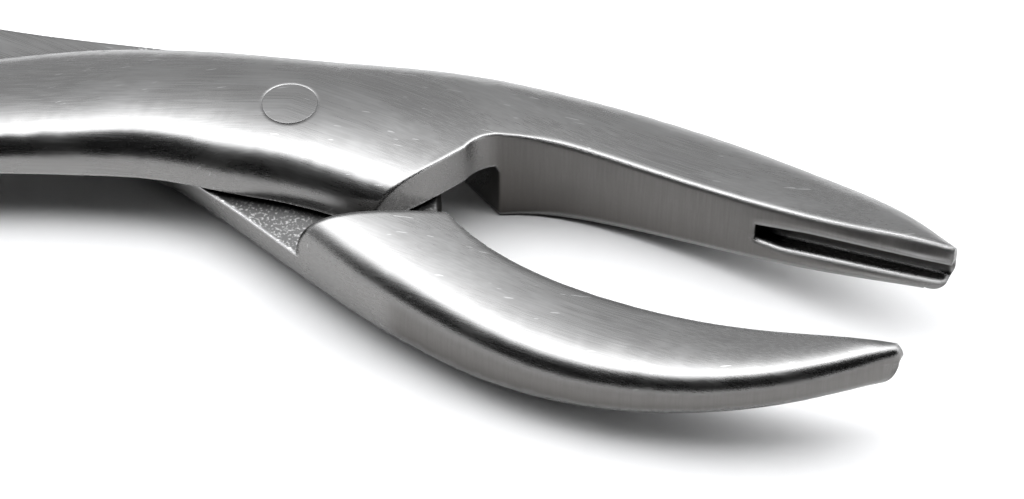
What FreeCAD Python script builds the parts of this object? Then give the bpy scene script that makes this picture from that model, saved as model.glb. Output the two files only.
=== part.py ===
import FreeCAD, Part
import os
from FreeCAD import Vector

# Dental extraction forceps with a lap joint, in millimetres, lying open on a flat surface.
# Origin: on the pivot axis, at the resting plane.  +X: towards the beak tips.  +Z: up.
# The beaks and laps of the two halves are mirror images in plan.  Through the joint each
# half is cut to half thickness, the upper one from below and the lower one from above.
# Behind the joint the handles swing to one side of the beaks' line.

# ---- driving dimensions -------------------------------------------------------------
joint_thickness = 8.0        # both laps together
lap_gap = 0.1                # between the two lap faces
lap_radius = 37.0            # the handles pass over each other inside this radius
lap_ramp = 2.2               # beyond it each handle thickens at this run for each unit of rise
lap_edge_break = 0.35        # chamfer along the edge of each lap face
handle_squareness = 0.87     # how square a rounded section is: 0.7 is an oval, 1 nearly square
beak_squareness = 0.94
squareness_change = (5.0, 16.0)  # x, where one becomes the other
section_count = 44           # evenly spaced sections along one half
rivet_diameter = 3.0         # shank
rivet_head_diameter = 3.4    # countersunk ends, flush with the faces
rivet_head_height = 0.8
rivet_proud = 1.0            # how far its upper end stands out before it is ground flush
running_clearance = 0.05     # radial, between the rivet and the half that turns on it
handle_end_radius = 1.6
upper_tip = (41.0, 7.3, 1.5, 7.3)  # rounding of the tip seen from the side: x, z, radius, and
lower_tip = (40.3, 7.9, 2.2, 12.0) # the height up to which it is rounded
far = 20.0                   # how far a cutter reaches past the metal

# Sections of one half as (x, centre, half width, bottom, top), from the joint to the
# beak's tip.  Along the beak the centre is its inner face.
beak_stations = [
    (-2.0, 0.15, 5.8, -0.2, 8.0),
    (1.5, 1.1, 6.05, -0.25, 8.0),
    (5.0, 1.85, 6.5, -0.2, 7.95),
    (8.0, 2.5, 6.95, -0.1, 7.75),
    (12.0, 3.4, 6.95, 0.1, 7.2),
    (16.0, 4.9, 6.2, 0.3, 6.65),
    (20.0, 5.5, 6.0, 0.7, 6.25),
    (25.0, 5.6, 5.8, 1.4, 6.2),
    (30.0, 5.35, 5.2, 2.4, 6.6),
    (35.0, 4.8, 4.25, 3.8, 7.5),
    (39.0, 4.0, 3.2, 5.1, 8.5),
    (42.5, 3.6, 1.3, 6.1, 9.2),
]
# The same for the two handles, from the end to the joint.  The lower half is drawn
# mirrored, as its beak is, so its handle's centres have the opposite sign.
upper_handle = [
    (-131.0, -50.6, 3.7, 0.9, 7.2),
    (-126.0, -49.3, 4.6, 0.2, 8.0),
    (-112.0, -45.2, 5.0, -0.02, 8.2),
    (-92.0, -38.6, 5.0, -0.02, 8.2),
    (-70.0, -30.3, 4.7, 0.1, 8.1),
    (-52.0, -23.0, 4.1, 0.7, 7.6),
    (-38.0, -16.7, 3.7, 1.5, 7.2),
    (-28.0, -11.6, 3.95, 2.1, 7.1),
    (-20.0, -7.2, 4.95, 2.2, 7.2),
    (-14.0, -4.0, 5.45, 1.5, 7.5),
    (-10.0, -2.3, 5.45, 0.7, 7.8),
    (-6.0, -0.85, 5.5, 0.1, 7.95),
]
lower_handle = [
    (-131.0, -0.3, 3.7, 0.9, 7.2),
    (-126.0, 0.1, 4.6, 0.2, 8.0),
    (-112.0, 1.2, 5.0, -0.02, 8.2),
    (-92.0, 2.8, 5.0, -0.02, 8.2),
    (-70.0, 3.9, 4.7, 0.0, 8.1),
    (-52.0, 4.0, 4.1, 0.2, 7.3),
    (-38.0, 3.4, 3.7, 0.6, 6.5),
    (-28.0, 2.3, 3.8, 0.7, 5.9),
    (-20.0, 1.0, 4.1, 0.5, 5.8),
    (-14.0, -0.3, 4.4, 0.2, 6.4),
    (-10.0, -0.8, 4.9, 0.0, 7.2),
    (-6.0, -0.6, 5.4, -0.1, 7.8),
]

# Plan outlines of one half.
plate_front = [(7.4, -5.0), (10.0, -0.9), (11.3, 1.7)]       # front edge of the lap plate
crotch = [(11.3, 1.7), (11.8, 3.0), (12.7, 3.8)]             # where it turns into the beak
beak_inner_line = [                                          # x, y, lean towards the top
    (12.7, 3.8, 0.0),
    (15.5, 4.9, 0.0),
    (19.5, 5.5, 0.02),
    (25.0, 5.6, 0.06),
    (31.0, 5.25, 0.12),
    (36.0, 4.6, 0.18),
    (40.0, 3.95, 0.22),
    (44.0, 3.4, 0.25),
]
beak_lean_height = 6.0       # height at which beak_inner_line is true
shoulder = [(12.7, 3.8), (1.0, 10.1)]                        # where full thickness begins

# The groove along the last third of each beak's inner face, open at the tip.
groove_side = [(29.4, 3.7), (29.4, 4.9), (33.0, 5.85), (44.0, 8.3), (44.0, 7.05), (31.2, 3.8)]
groove_floor = [(29.0, 6.5), (44.0, 4.5)]                    # its bottom, in plan


def squareness(x):
    """Changes smoothly from the handle's section to the beak's."""
    start, end = squareness_change
    part = min(max((x - start) / (end - start), 0.0), 1.0)
    blend = part * part * (3 - 2 * part)
    return handle_squareness + (beak_squareness - handle_squareness) * blend


def rounded_section(x, centre, half_width, bottom, top):
    """A closed, smooth, slightly square oval in the plane of one station."""
    corner = squareness(x)
    stretch = 6 / (4 + 2 * corner)
    middle = (bottom + top) / 2
    across = half_width * stretch
    up = (top - bottom) / 2 * stretch
    around = [(1, 0), (corner, corner), (0, 1), (-corner, corner),
              (-1, 0), (-corner, -corner), (0, -1), (corner, -corner)]
    poles = [Vector(x, centre + across * side, middle + up * rise) for side, rise in around]
    curve = Part.BSplineCurve()
    curve.buildFromPolesMultsKnots(poles, [1] * 9, list(range(9)), True, 3)
    return Part.Wire([curve.toShape()])


def plan(x, y, z=0.0):
    return Vector(x, y, z)


def spline(points):
    curve = Part.BSplineCurve()
    curve.interpolate(Points=points)
    return curve.toShape()


def polyline(points):
    return [Part.makeLine(start, end) for start, end in zip(points, points[1:])]


def prism(points, direction):
    """A closed polygon drawn out along a direction."""
    face = Part.Face(Part.Wire(polyline(points + points[:1])))
    return face.extrude(direction)


def even_sections(stations):
    """Evenly spaced rounded sections, smoothly following the stations."""
    places = [station[0] for station in stations]
    curves = []
    for column in range(1, 5):
        curve = Part.BSplineCurve()
        points = [plan(station[0], station[column]) for station in stations]
        curve.interpolate(Points=points, Parameters=places)
        curves.append(curve)
    step = (places[-1] - places[0]) / (section_count - 1)
    sections = []
    for index in range(section_count):
        x = places[0] + index * step
        sections.append(rounded_section(x, *[curve.value(x).y for curve in curves]))
    return sections


def blank(handle_stations):
    """The full-thickness forging of one half, with its underside ground flat."""
    body = Part.makeLoft(even_sections(handle_stations + beak_stations), True, False)
    ends = [edge for edge in body.Edges if edge.BoundBox.XMax < handle_stations[0][0] + 0.01]
    body = body.makeFillet(handle_end_radius, ends)
    below = Part.makeBox(10 * far, 8 * far, far, Vector(-7.5 * far, -4 * far, -far))
    return body.cut(below)


def inner_outline(z):
    """Front of the lap plate and inner face of the beak, as a closed wire at height z."""
    drop = z - beak_lean_height
    face_points = [plan(x, y + lean * drop, z) for x, y, lean in beak_inner_line]
    front_points = [plan(x, y, z) for x, y in plate_front]
    front = Part.Arc(*front_points).toShape()
    corner = Part.Arc(*[plan(x, y, z) for x, y in crotch]).toShape()
    outside = [face_points[-1], plan(50, -far, z), plan(6.5, -far, z), front_points[0]]
    return Part.Wire([front, corner, spline(face_points)] + polyline(outside))


def mouth():
    """Everything in front of the lap plate and between the beaks."""
    return Part.makeLoft([inner_outline(-1.0), inner_outline(far)], True, True)


def lap_recess(bottom, top, lap_height):
    """The slice of the joint that the other half turns in, with a sloping rim."""
    bottom_radius = lap_radius + lap_ramp * (lap_height - bottom)
    top_radius = lap_radius + lap_ramp * (top - lap_height)
    disc = Part.makeCone(bottom_radius, top_radius, top - bottom, plan(0, 0, bottom))
    corner_x, corner_y = shoulder[0]
    outer_x, outer_y = shoulder[1]
    beak_side = [(corner_x, corner_y), (outer_x, outer_y), (outer_x, far), (60, far), (60, corner_y)]
    points = [plan(x, y, bottom) for x, y in beak_side]
    return disc.cut(prism(points, Vector(0, 0, top - bottom)))


def beak_groove():
    side = prism([Vector(x, 0, z) for x, z in groove_side], Vector(0, far, 0))
    inside = [plan(x, y) for x, y in groove_floor + [(44.0, 0.0), (29.0, 0.0)]]
    return side.common(prism(inside, Vector(0, 0, far)))


def beyond_tip(x, z, radius, height):
    """What the rounding of the tip takes away."""
    block = Part.makeBox(far, far, far, Vector(x, 0, height - far))
    return block.cut(Part.makeCylinder(radius, far, Vector(x, 0, z), Vector(0, 1, 0)))


def rivet(growth):
    """The pivot before it is ground flush: a shank with a countersunk head in each face."""
    shank_radius = rivet_diameter / 2 + growth
    head_radius = rivet_head_diameter / 2 + growth
    widening = (head_radius - shank_radius) / rivet_head_height
    proud_radius = head_radius + widening * rivet_proud
    top_head_base = plan(0, 0, joint_thickness - rivet_head_height)
    shank = Part.makeCylinder(shank_radius, joint_thickness)
    bottom_head = Part.makeCone(head_radius, shank_radius, rivet_head_height)
    top_head = Part.makeCone(shank_radius, proud_radius, rivet_head_height + rivet_proud, top_head_base)
    return shank.fuse([bottom_head, top_head]).removeSplitter()


def lap_edges(body, height):
    """The lap plate's free edges: along its open side and round its front."""
    flat = [edge for edge in body.Edges
            if abs(edge.BoundBox.ZMin - height) < 0.01 and abs(edge.BoundBox.ZMax - height) < 0.01]
    side = [edge for edge in flat if edge.CenterOfMass.y < -3 and edge.Length > lap_radius]
    front = [edge for edge in flat if edge.BoundBox.XMin > 5 and isinstance(edge.Curve, Part.Circle)]
    return side + front


def half(handle_stations, recess_bottom, recess_top, lap_height, tip):
    """One forging, machined: mouth, lap, tip and groove."""
    body = blank(handle_stations).cut(mouth())
    body = body.cut(lap_recess(recess_bottom, recess_top, lap_height))
    body = body.makeChamfer(lap_edge_break, lap_edges(body, lap_height))
    return body.cut(beyond_tip(*tip)).cut(beak_groove())


def ground_rivet():
    """The rivet with its ends ground flush with the faces of the joint."""
    column = Part.makeCylinder(rivet_head_diameter, 2 * far, plan(0, 0, -far))
    return column.common(blank(upper_handle)).common(rivet(0.0))


lap_middle = joint_thickness / 2
upper_lap_height = lap_middle + lap_gap / 2
lower_lap_height = lap_middle - lap_gap / 2
upper = half(upper_handle, -1.0, upper_lap_height, upper_lap_height, upper_tip)
lower = half(lower_handle, lower_lap_height, far, lower_lap_height, lower_tip)
lower = lower.mirror(Vector(0, 0, 0), Vector(0, 1, 0))

nodes = {
    "upper_half": upper.cut(rivet(running_clearance)),
    "lower_half": lower.cut(rivet(0.0)),
    "pivot_rivet": ground_rivet(),
}

os.makedirs("parts", exist_ok=True)
for name, shape in nodes.items():
    solid = shape.Solids[0]
    print(name, "valid", solid.isValid(), "solids", len(shape.Solids), "volume", round(solid.Volume, 1))
    solid.exportStep("parts/" + name + ".step")
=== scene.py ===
# %% [markdown]
# # Extraction forceps
# A pair of dental forceps lies half open on a white table.  It is three pieces of steel:
# two forgings that cross at a lap joint, and the rivet that holds them together.
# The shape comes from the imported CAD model; this file gives it its ground surface, its
# worked edges and its light.  Everything is in metres, in the CAD model's own frame: the
# origin is on the pivot, +X runs to the beak tips and +Z is up.

# %% Load the frame
import math
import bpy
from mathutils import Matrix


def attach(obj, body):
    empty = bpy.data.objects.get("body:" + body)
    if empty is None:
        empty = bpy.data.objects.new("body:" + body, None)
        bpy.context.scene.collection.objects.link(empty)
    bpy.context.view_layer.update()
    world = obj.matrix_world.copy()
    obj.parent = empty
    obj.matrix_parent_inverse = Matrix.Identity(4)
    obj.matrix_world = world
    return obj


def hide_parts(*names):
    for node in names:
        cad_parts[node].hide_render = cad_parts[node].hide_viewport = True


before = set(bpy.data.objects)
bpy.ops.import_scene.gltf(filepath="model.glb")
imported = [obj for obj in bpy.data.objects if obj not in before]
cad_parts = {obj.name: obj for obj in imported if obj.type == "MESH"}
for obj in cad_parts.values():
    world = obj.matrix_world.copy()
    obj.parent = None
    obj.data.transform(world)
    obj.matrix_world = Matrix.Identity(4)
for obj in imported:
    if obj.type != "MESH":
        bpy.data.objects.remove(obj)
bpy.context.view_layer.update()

from types import SimpleNamespace

import bmesh
import bpy
import numpy as np
from mathutils import Vector

MM = 0.001

# %% [markdown]
# ## Camera
# The joint and the beaks are seen from close by, from the near side and above.  A long
# lens keeps the two beaks nearly the same size.  The camera looks along one line: an
# angle round the table and an angle above it, then a distance back from its target.
# The plain Standard view keeps white card white, where a filmic one would grey it, and a
# gamma a little below 1 deepens the middle greys of the steel.

# %% Camera
view_azimuth = math.radians(25.0)
view_elevation = math.radians(45.0)
view_distance = 240.0 * MM
view_target = Vector((15.33, 0.0, 1.53)) * MM
lens_mm = 135.0
picture_gamma = 0.80

back = Vector((math.sin(view_azimuth) * math.cos(view_elevation),
               -math.cos(view_azimuth) * math.cos(view_elevation),
               math.sin(view_elevation)))
camera_data = bpy.data.cameras.new("camera")
camera_data.lens = lens_mm
camera_data.sensor_width = 36.0
camera_data.clip_start = 0.01
camera = bpy.data.objects.new("camera", camera_data)
camera.location = view_target + back * view_distance
camera.rotation_euler = back.to_track_quat("Z", "Y").to_euler()
bpy.context.collection.objects.link(camera)
bpy.context.scene.camera = camera
bpy.context.scene.view_settings.view_transform = "Standard"
bpy.context.scene.view_settings.gamma = picture_gamma
print("camera at", [round(value / MM, 1) for value in camera.location], "mm")

# %% [markdown]
# ## Writing shaders as sums
# A metal finish is mostly arithmetic on a few noises.  Wires drawn by hand are hard to
# read back, so one small class wraps a socket and lets Python's own signs add the Math
# nodes, and one method adds any other node: its type, its settings, then its inputs.

# %% Shader helpers
class Wire:
    """An output socket.  Arithmetic on it adds Math nodes to its tree."""

    def __init__(self, finish, socket):
        self.finish = finish
        self.socket = socket

    def maths(self, operation, *values):
        inputs = dict(enumerate(values))
        return self.finish.node("ShaderNodeMath", {"operation": operation}, inputs)

    def __add__(self, other):
        return self.maths("ADD", self, other)

    def __sub__(self, other):
        return self.maths("SUBTRACT", self, other)

    def __rsub__(self, other):
        return self.maths("SUBTRACT", other, self)

    def __mul__(self, other):
        return self.maths("MULTIPLY", self, other)

    def __abs__(self):
        return self.maths("ABSOLUTE", self)

    def at_most(self, other):
        return self.maths("MINIMUM", self, other)

    def between(self, low, high):
        """0 below low, 1 above high and a smooth step from one to the other."""
        settings = {"interpolation_type": "SMOOTHSTEP"}
        ends = {"Value": self, "From Min": low, "From Max": high}
        return self.finish.node("ShaderNodeMapRange", settings, ends)

    __radd__ = __add__
    __rmul__ = __mul__


class Finish:
    """A node tree under construction, of a material or of the world."""

    def __init__(self, owner):
        owner.use_nodes = True
        self.tree = owner.node_tree

    def put(self, socket, value):
        if isinstance(value, Wire):
            self.tree.links.new(value.socket, socket)
        else:
            socket.default_value = value

    def node(self, kind, settings=None, inputs=None, output=0):
        made = self.tree.nodes.new(kind)
        for name, value in (settings or {}).items():
            setattr(made, name, value)
        for name, value in (inputs or {}).items():
            self.put(made.inputs[name], value)
        return Wire(self, made.outputs[output])

    def split(self, vector):
        parts = self.tree.nodes.new("ShaderNodeSeparateXYZ")
        self.put(parts.inputs[0], vector)
        return [Wire(self, socket) for socket in parts.outputs]

    def join(self, x, y, z):
        return self.node("ShaderNodeCombineXYZ", None, {0: x, 1: y, 2: z})

    def noise(self, vector, detail):
        inputs = {"Vector": vector, "Scale": 1.0, "Detail": detail}
        return self.node("ShaderNodeTexNoise", {"noise_dimensions": "3D"}, inputs)

    # A Mix node's sockets share their names, so they are given by their place in its list.
    def blend(self, amount, first, second):
        """A mix of two colours."""
        inputs = {0: amount, 6: first, 7: second}
        return self.node("ShaderNodeMix", {"data_type": "RGBA"}, inputs, 2)

    def blend_facing(self, amount, first, second):
        """A mix of two directions."""
        inputs = {0: amount, 4: first, 5: second}
        return self.node("ShaderNodeMix", {"data_type": "VECTOR"}, inputs, 1)


def grey(value, warmth=0.0):
    """A grey that warmth makes slightly redder and less blue."""
    return (value * (1 + warmth), value, value * (1 - warmth), 1.0)


print("shader helpers ready")

# %% [markdown]
# ## Studio light
# Polished steel shows its surroundings, so the light is a room more than a lamp.  Going
# over the forceps from the far wall to the near one, the room is grey, brightens until it
# is well past overhead, and then falls to a dark room behind the viewer.  That is what
# gives ground steel its look: grey flats, a white line along each near edge, and a black
# line right beneath it.  It is soft enough to leave only a gentle shadow on the table.
# `nearness` is 1 in the direction of the viewer's side of the room and -1 away from it,
# and `height` is 1 straight up.

# %% Light
wall_light = 0.74
ceiling_light = 3.9
dark_light = 0.012
daylight_tint = (0.985, 0.99, 1.0, 1.0)
brightening = (-0.76, 0.14)   # nearness over which the wall turns into the ceiling
overhead = (0.25, 0.75)       # height over which the ceiling gains its light
darkening = (0.24, 0.38)      # nearness over which the ceiling ends in the dark

world = bpy.data.worlds.new("studio")
bpy.context.scene.world = world
room = Finish(world)
direction = room.node("ShaderNodeTexCoord", None, None, "Generated")
room_x, room_y, height = room.split(direction)
nearness = room_x * math.sin(view_azimuth) - room_y * math.cos(view_azimuth)
ceiling = nearness.between(*brightening) * height.between(*overhead)
darkness = nearness.between(*darkening)
brightness = wall_light + (ceiling_light - wall_light) * ceiling
brightness = brightness * (1.0 - darkness) + dark_light * darkness
background = world.node_tree.nodes["Background"]
background.inputs["Color"].default_value = daylight_tint
room.put(background.inputs["Strength"], brightness)
print("wall", wall_light, "ceiling", ceiling_light, "behind the viewer", dark_light)

# %% [markdown]
# ## Table
# A sheet of matt white card.  It is large enough to fill any view, and its faint fibre
# keeps it from looking like an empty page.

# %% Table
table_half = 1.6
fibres_per_metre = 400.0
table_mesh = bpy.data.meshes.new("table")
table_corners = [(-table_half, -table_half, 0), (table_half, -table_half, 0),
                 (table_half, table_half, 0), (-table_half, table_half, 0)]
table_mesh.from_pydata(table_corners, [], [(0, 1, 2, 3)])
table = bpy.data.objects.new("table", table_mesh)
bpy.context.collection.objects.link(table)

card = bpy.data.materials.new("white_card")
card_finish = Finish(card)
card_place = card_finish.node("ShaderNodeTexCoord", None, None, "Object")
card_scaled = card_finish.node("ShaderNodeVectorMath", {"operation": "SCALE"},
                               {0: card_place, "Scale": fibres_per_metre})
card_fibre = card_finish.noise(card_scaled, 3.0)
card_shader = card.node_tree.nodes["Principled BSDF"]
card_colour = card_finish.blend(card_fibre, grey(0.88), grey(0.92))
card_finish.put(card_shader.inputs["Base Color"], card_colour)
card_shader.inputs["Roughness"].default_value = 0.6
table_mesh.materials.append(card)
print("table", 2 * table_half, "m square")

# %% [markdown]
# ## Ground steel: where a point is
# The forgings are ground on a belt and then satin polished, and every mark that this
# leaves has a direction.  So the pattern is worked out in millimetres from the piece's own
# coordinates, which turn with it.  `swing` is how far the handle leaves the X axis, and
# `across` is the distance from a line that leaves with it, so the grain follows the handle.
# `facing_up` is 1 on a level surface and 0 on an upright one.

# %% Where a point of the steel is
def surface(finish, swing, seed):
    place = finish.node("ShaderNodeTexCoord", None, None, "Object")
    place = finish.node("ShaderNodeVectorMath", {"operation": "SCALE"}, {0: place, "Scale": 1 / MM})
    x, y, z = finish.split(place)
    facing = finish.node("ShaderNodeTexCoord", None, None, "Normal")
    facing_up = abs(finish.split(facing)[2])
    across = y - x.at_most(0.0) * swing
    return SimpleNamespace(x=x, y=y, z=z, facing_up=facing_up, across=across, seed=seed)


print("the pattern is worked out in millimetres")

# %% [markdown]
# ## Grain, clouds and scratches
# Four things show the grinding: fine grain along each handle, cloudy patches where the belt
# pressed harder, a few stray scratches, and upright wheel marks on the flat inner faces of
# the beaks.  Each is a noise that is stretched along the way the abrasive ran, most of all
# the fine grain: it changes eleven times in a millimetre across the handle, and once in
# four or five millimetres along it.

# %% Grinding marks
fine_along, fine_across = 0.22, 11.0      # changes of the noise per millimetre
broad_along, broad_across = 0.10, 2.6
wheel_along, wheel_inwards, wheel_up = 7.0, 1.2, 0.35
cloud_along, cloud_across, cloud_up = 0.16, 0.34, 0.3
joint_end = (11.0, 13.0)                  # x, mm, over which the joint turns into the beaks


def grinding_marks(finish, at):
    x, across, z = at.x, at.across, at.z
    fine_place = finish.join(x * fine_along + at.seed, across * fine_across, z * fine_across)
    broad_place = finish.join(x * broad_along + at.seed, across * broad_across, z * broad_across)
    wheel_place = finish.join(x * wheel_along + at.seed, at.y * wheel_inwards, z * wheel_up)
    fine = finish.noise(fine_place, 3.0)
    broad = finish.noise(broad_place, 2.0)
    wheel = finish.noise(wheel_place, 3.0)
    upright = (1.0 - at.facing_up.between(0.15, 0.45)) * x.between(*joint_end)
    grain = fine * (1.0 - upright) + wheel * upright

    cloud_place = finish.join(x * cloud_along + at.seed, across * cloud_across, z * cloud_up)
    clouds = finish.noise(cloud_place, 4.0).between(0.42, 0.72)
    scratch_place = finish.join(x * 0.35 + across * 0.9 + at.seed, across * 5.0 - x * 1.6, z)
    scratches = finish.noise(scratch_place, 1.0).between(0.735, 0.76) * (1.0 - upright)
    return SimpleNamespace(fine=fine, broad=broad, wheel=wheel, upright=upright, grain=grain,
                           clouds=clouds, scratches=scratches)


print("fine grain changes", fine_across, "times a millimetre across and", fine_along, "along")

# %% [markdown]
# ## Milled laps
# The laps were milled and never polished, so they are rougher, and the cutter's marks
# sparkle: their bumps catch the light, and a lighter coat on them is a painted glint.  They
# are the level faces at half the joint's height, within reach of the pivot.

# %% Milled laps
lap_height = 4.0     # mm above the table, where the two laps meet
joint_reach = 15.0   # mm from the pivot, within which the laps are milled
reach_fade = 1.5     # mm over which the milling ends


def milled_laps(finish, at):
    """1 on the milled faces, and the noise of the cutter's marks, which also places their painted
    glints.
    """
    milled = (1.0 - abs(at.z - lap_height).between(0.0, 0.2)) * at.facing_up.between(0.9, 0.98)
    level_place = finish.join(at.x, at.y, 0.0)
    reach = finish.node("ShaderNodeVectorMath", {"operation": "LENGTH"}, {0: level_place}, "Value")
    milled = milled * (1.0 - reach.between(joint_reach - reach_fade, joint_reach))
    sparkle = finish.noise(finish.join(at.x * 5.0, at.y * 5.0, at.z + at.seed), 3.0)
    return milled, sparkle


print("laps are milled within", joint_reach, "mm of the pivot")

# %% [markdown]
# ## Worked edges, painted highlights and painted shade
# Every edge is broken with a fine stone, and the beaks' edges with a broader one.  Cutting
# such small rounds into the mesh would cost many faces, so a Bevel node rounds the shading
# there instead, and where it turns the surface, a painted highlight lightens the colour.
# Painted shade goes the other way: an Ambient Occlusion node with a short reach darkens
# grooves and gaps nearly to black, and one with a long reach darkens inner faces that are
# shut in on several sides, on top of a darkening that every upright inner face gets.

# %% Worked edges, painted highlights and painted shade
beak_edge_start = (13.0, 17.0)   # x, mm, over which the edges get broader
beak_edge_factor = 2.0
crevice_shade_reach = 2.0 * MM
shelter_reach = 9.0 * MM


def worked_edges(finish, at, edge_radius):
    """The facing with its edges rounded, and a painted highlight where that turns the surface."""
    fine = finish.node("ShaderNodeBevel", {"samples": 8}, {"Radius": edge_radius})
    broad = finish.node("ShaderNodeBevel", {"samples": 8}, {"Radius": beak_edge_factor * edge_radius})
    soft = finish.blend_facing(at.x.between(*beak_edge_start), fine, broad)
    # painted highlight where the rounded edge turns the surface
    painted_edge_highlight = abs(abs(finish.split(soft)[2]) - at.facing_up).between(0.04, 0.30)
    return soft, painted_edge_highlight


def painted_shade_masks(finish, upright):
    """The painted shade of crevices and gaps, and the painted shade of the inner faces."""
    kind, settings = "ShaderNodeAmbientOcclusion", {"samples": 6}
    crevice = finish.node(kind, settings, {"Distance": crevice_shade_reach}, "AO")
    shelter = finish.node(kind, settings, {"Distance": shelter_reach}, "AO")
    # painted shade of crevices and gaps
    painted_crevice_shade = 1.0 - crevice.between(0.16, 0.70)
    # painted shade of the inner faces: darker when upright, darker still when shut in
    painted_inner_shade = upright * (1.0 - shelter.between(0.35, 0.95)) * 0.55 + upright * 0.35
    return painted_crevice_shade, painted_inner_shade


print("beak edges are rounded", beak_edge_factor, "times as broadly as the others")

# %% [markdown]
# ## The steel itself
# The marks are laid over one another as coats of grey, each an amount and a colour.  The
# grain is the ground coat, and the painted shade of crevices and gaps comes last, so that it
# covers all the others.  The flanks and the inner faces are painted darker than the tops, as
# painted shade, and the rounded edges get a painted highlight.  The grinding marks then make
# the surface rougher and lift it slightly, so that they catch the light.

# %% The steel itself
steel_tone = 0.37   # how light the bare ground metal is


def steel(name, swing, seed, edge_radius):
    material = bpy.data.materials.new(name)
    finish = Finish(material)
    at = surface(finish, swing, seed)
    marks = grinding_marks(finish, at)
    milled, sparkle = milled_laps(finish, at)
    soft_facing, painted_edge_highlight = worked_edges(finish, at, edge_radius)
    painted_crevice_shade, painted_inner_shade = painted_shade_masks(finish, marks.upright)
    # painted shade: the less a face looks up, the darker its colour
    painted_flank_shade = (1.0 - at.facing_up.between(0.15, 0.75)) * 0.35

    colour = finish.blend(marks.grain.between(0.30, 0.70),
                          grey(steel_tone * 0.90, 0.006), grey(steel_tone * 1.06, 0.004))
    coats = [
        (marks.broad.between(0.35, 0.65) * 0.4, grey(steel_tone * 0.95, 0.01)),    # broad grain
        (marks.clouds * 0.25, grey(steel_tone * 1.25)),
        (marks.scratches * 0.8, grey(steel_tone * 1.6)),
        (milled, grey(steel_tone * 0.80)),
        # painted glints: the cutter marks' noise lightens the colour where their bumps sparkle
        (milled * sparkle.between(0.50, 0.68), grey(steel_tone * 2.2)),            # cutter marks
        # painted shade: sides that do not face up are darkened
        (painted_flank_shade, grey(steel_tone * 0.40, 0.06)),                                    # rounded sides
        # painted shade: upright inner faces darkened, most where they are shut in
        (painted_inner_shade, grey(steel_tone * 0.28, 0.08)),                                   # inner faces
        # painted highlight along the rounded edges
        (painted_edge_highlight * 0.5, grey(0.80)),                                                # edges
        # painted shade: crevices and gaps darkened nearly to black
        (painted_crevice_shade, grey(0.02)),
    ]
    for amount, coat in coats:
        colour = finish.blend(amount, colour, coat)

    roughness = 0.20 + marks.fine * 0.12 + marks.clouds * 0.08
    roughness = roughness + milled * 0.14 + marks.upright * 0.08
    relief = marks.grain * 0.5 + marks.scratches * 0.5 + milled * sparkle * 2.5
    relief = relief + marks.upright * marks.wheel * 0.6
    bump_inputs = {"Strength": 0.30, "Distance": 0.007 * MM, "Height": relief, "Normal": soft_facing}
    bump = finish.node("ShaderNodeBump", None, bump_inputs)

    shader = material.node_tree.nodes["Principled BSDF"]
    shader.inputs["Metallic"].default_value = 1.0
    finish.put(shader.inputs["Base Color"], colour)
    finish.put(shader.inputs["Roughness"], roughness)
    finish.put(shader.inputs["Normal"], bump)
    return material


print("steel tone", steel_tone)

# %% [markdown]
# ## One steel for each piece
# The two halves were ground apart, so their marks differ: each has its own seed, and its
# grain swings out with its own handle.  The rivet was ground flush together with the upper
# half, so it shares that half's grain, and only its thin rim is rounded.

# %% One steel for each piece
upper_swing, lower_swing = 0.43, -0.035   # how far each handle runs sideways for each mm along X
upper_seed, lower_seed = 3.7, 41.3
half_edge = 0.36 * MM
rivet_edge = 0.04 * MM

finishes = {
    "upper_half": steel("ground_steel_upper", upper_swing, upper_seed, half_edge),
    "lower_half": steel("ground_steel_lower", lower_swing, lower_seed, half_edge),
    "pivot_rivet": steel("ground_steel_rivet", upper_swing, upper_seed, rivet_edge),
}
for node_name, material in finishes.items():
    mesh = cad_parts[node_name].data
    mesh.materials.clear()
    mesh.materials.append(material)
    print(node_name, len(mesh.polygons), "faces")

# %% [markdown]
# ## Smoothly ground skins
# A reflection shows the slightest error in the direction a surface faces, and the CAD
# meshes are loose triangles whose corners face only roughly the right way.  The corners
# themselves lie exactly on the ground surface, though, so a copy of each half keeps every
# corner where it is and only gets better facings.  First its triangles are joined up, and
# its faces are divided into regions: two faces belong together if the edge between them is
# not a machined one.

# %% Joining up and dividing at the machined edges
crisp_angle = math.radians(20.0)
same_corner = 0.0008 * MM    # corners nearer than this are one
shortest_edge = 0.0004 * MM


def joined_copy(node_name):
    """The node's mesh with its triangles joined at their corners, as a bmesh."""
    shape = bmesh.new()
    shape.from_mesh(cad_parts[node_name].data)
    bmesh.ops.remove_doubles(shape, verts=shape.verts, dist=same_corner)
    bmesh.ops.dissolve_degenerate(shape, edges=shape.edges, dist=shortest_edge)
    shape.normal_update()
    shape.verts.index_update()
    shape.faces.index_update()
    return shape


def smooth_regions(shape):
    """One number for each face, the same for all that meet without a machined edge."""
    region = [-1] * len(shape.faces)
    for start in shape.faces:
        if region[start.index] >= 0:
            continue
        region[start.index] = start.index
        waiting = [start]
        while waiting:
            for edge in waiting.pop().edges:
                if len(edge.link_faces) != 2 or edge.calc_face_angle(0.0) > crisp_angle:
                    continue
                fresh = [face for face in edge.link_faces if region[face.index] < 0]
                for face in fresh:
                    region[face.index] = start.index
                waiting.extend(fresh)
    return region


print("edges sharper than", round(math.degrees(crisp_angle)), "degrees stay crisp")

# %% [markdown]
# ## Fitting a curved patch at each corner
# The usual way to smooth shading is to average the facings of the faces round a corner, but
# long thin triangles make that average wander.  A small curved patch, a paraboloid, fitted
# through the corners round it gives the true facing far more closely.  A patch stays inside
# its own region, so it never reaches over a machined edge, and the edges stay crisp.

# %% Fitting the patches
largest_correction = math.radians(15.0)   # a patch that turns a corner further is not trusted
fewest_neighbours = 8                     # a patch through fewer points is not trusted either
least_share = 1e-3                        # of the fit's largest part, below which a part is noise


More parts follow.
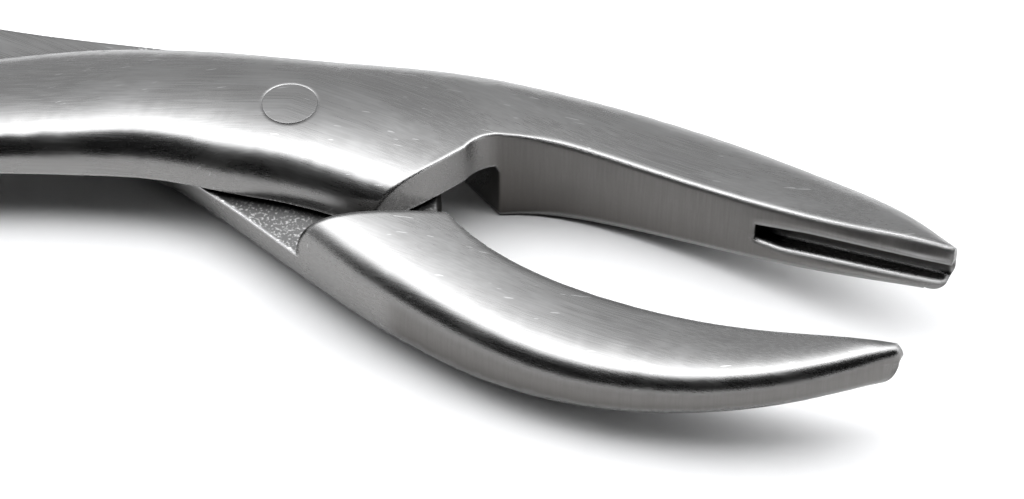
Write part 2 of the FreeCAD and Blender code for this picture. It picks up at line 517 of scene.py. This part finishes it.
def fitted_facing(centre, rough, around):
    """The facing of the curved patch through centre and the points around it."""
    helper = (1.0, 0.0, 0.0) if abs(rough[0]) < 0.8 else (0.0, 1.0, 0.0)
    side = np.cross(rough, helper)
    side /= np.linalg.norm(side)
    over = np.cross(rough, side)
    offsets = around - centre
    u, v, rise = offsets @ side, offsets @ over, offsets @ rough
    u_size, v_size = np.abs(u).max(), np.abs(v).max()
    u, v = u / u_size, v / v_size
    terms = np.stack([u, v, u * u, u * v, v * v], axis=1)
    slopes = np.linalg.lstsq(terms, rise, rcond=least_share)[0]
    facing = rough - side * slopes[0] / u_size - over * slopes[1] / v_size
    facing /= np.linalg.norm(facing)
    return facing if facing @ rough > math.cos(largest_correction) else rough


def corner_facings(shape):
    """The fitted facing of every corner of every face.

    A corner has one facing in each region that it touches, so the keys are pairs of the
    corner and the region.
    """
    region = smooth_regions(shape)
    places = np.array([vertex.co[:] for vertex in shape.verts])
    roughs, rings = {}, {}
    for face in shape.faces:
        corners = [vertex.index for vertex in face.verts]
        weighted = np.array(face.normal[:]) * face.calc_area()
        for corner in corners:
            key = (corner, region[face.index])
            roughs[key] = roughs.get(key, 0.0) + weighted
            rings.setdefault(key, set()).update(corners)
    facings = {}
    for (corner, region_number), rough in roughs.items():
        rough = rough / np.linalg.norm(rough)
        ring = rings[(corner, region_number)]
        around = set().union(*[rings[(other, region_number)] for other in ring])
        around.discard(corner)
        if len(around) >= fewest_neighbours:
            rough = fitted_facing(places[corner], rough, places[list(around)])
        facings[(corner, region_number)] = rough
    return [facings[(vertex.index, region[face.index])]
            for face in shape.faces for vertex in face.verts]


print("corners may turn by up to", round(math.degrees(largest_correction)), "degrees")

# %% [markdown]
# ## The three visible pieces
# The rivet gets one change of shape.  Hammered into its countersink and ground flush, its
# outline nearly disappears on a real joint, but the CAD rivet keeps a running clearance
# that would show as a dark ring.  The copy is swelled inside the upper lap until it almost
# fills its hole; below, where it is a tight fit, it keeps its size.

# %% Skins
rivet_swelling = 1.022


def smooth_skin(node_name, body, skin_name, swelling=1.0):
    """A visible copy of a node that rides on a body; swelling widens it above the laps' height."""
    shape = joined_copy(node_name)
    for vertex in shape.verts:
        if vertex.co.z > lap_height * MM:
            vertex.co.x *= swelling
            vertex.co.y *= swelling
    facings = corner_facings(shape)
    for face in shape.faces:
        face.smooth = True
    mesh = bpy.data.meshes.new(skin_name)
    shape.to_mesh(mesh)
    shape.free()
    mesh.normals_split_custom_set(facings)
    mesh.materials.clear()
    mesh.materials.append(finishes[node_name])
    skin = bpy.data.objects.new(skin_name, mesh)
    bpy.context.collection.objects.link(skin)
    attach(skin, body)
    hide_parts(node_name)
    print(skin_name, len(mesh.vertices), "vertices", len(mesh.polygons), "faces")


smooth_skin("upper_half", "upper", "upper_half_skin")
smooth_skin("lower_half", "lower", "lower_half_skin")
smooth_skin("pivot_rivet", "lower", "rivet_head", rivet_swelling)
